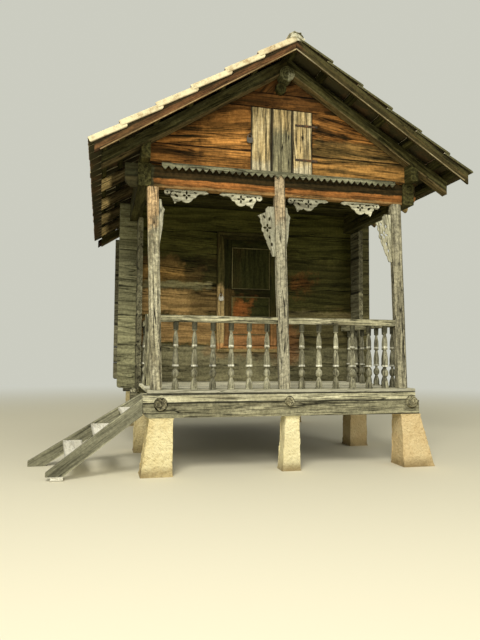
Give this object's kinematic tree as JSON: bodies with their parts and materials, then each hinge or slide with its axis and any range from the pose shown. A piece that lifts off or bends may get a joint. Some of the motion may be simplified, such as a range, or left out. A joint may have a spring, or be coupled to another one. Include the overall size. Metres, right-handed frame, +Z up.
{
  "type": "raised granary",
  "caption": "timber granary raised on stone piers, with an open porch, turned balusters, fretwork, a plank store room, a loft under a tiled gable roof and a short side stair",
  "frame": {"origin": "on the ground, at the middle of the foot of the middle front pier", "axes": "+X runs along the front to the right as seen from the porch side, +Y runs from the porch to the rear wall, +Z is up"},
  "size_m": [5.2018, 5.674, 5.0502],
  "materials": {
    "stone": "rough tooled yellow sandstone",
    "weathered_wood": "unpainted, weathered grey, deep drying cracks",
    "wall_wood": "hewn planks, dark brown with smoke and dirt",
    "dark_wood": "sheltered rough timber, dark olive brown",
    "red_wood": "sheltered planed timber, warm red brown, worn",
    "iron": "forged, lightly rusted",
    "pale_wood": "sawn fretwork boards, unpainted, bleached cream grey",
    "lock_metal": "dull worn steel",
    "clay": "unglazed pale fired clay with lichen"
  },
  "bodies": {
    "root": {"stone_piers": "stone", "bearing_beams": "weathered_wood", "sill_beams": "weathered_wood", "sleeper_logs": "weathered_wood", "porch_floor": "weathered_wood", "floor_bearers": "dark_wood", "room_floor": "dark_wood", "left_wall": "wall_wood", "right_wall": "wall_wood", "rear_wall": "wall_wood", "front_wall_low": "wall_wood", "front_wall_left": "wall_wood", "front_wall_right": "wall_wood", "front_wall_head": "wall_wood", "door_jambs": "red_wood", "door_head_and_sill": "red_wood", "door_pintles": "iron", "porch_posts": "weathered_wood", "handrails": "weathered_wood", "balusters": "weathered_wood", "newel": "weathered_wood", "stair_strings": "weathered_wood", "stair_treads": "weathered_wood", "stair_pad": "stone", "front_lintel": "red_wood", "side_plates": "dark_wood", "upper_plates": "wall_wood", "loft_joists": "dark_wood", "loft_floor": "dark_wood", "front_gable": "red_wood", "rear_gable": "red_wood", "loft_hatch": "weathered_wood", "sawtooth_board": "weathered_wood", "ridge_log": "weathered_wood", "corbel_logs": "dark_wood", "gable_rafters": "dark_wood", "round_rafters": "weathered_wood", "tile_battens": "dark_wood", "verge_boards": "red_wood", "left_tiles": "clay", "right_tiles": "clay", "ridge_tiles": "clay", "lintel_brackets": "pale_wood", "post_brackets": "pale_wood", "hatch_straps": "iron", "lock_staples": "iron", "padlocks": "lock_metal"},
    "door": {"door_leaf": "red_wood", "door_straps": "iron"}
  },
  "joints": [
    {"name": "door_hinge", "type": "hinge", "parent": "root", "child": "door", "pos_m": [0.4235, 1.7806, 2.28], "axis": [0, 0, -1], "range_deg": [0, 95]}
  ]
}
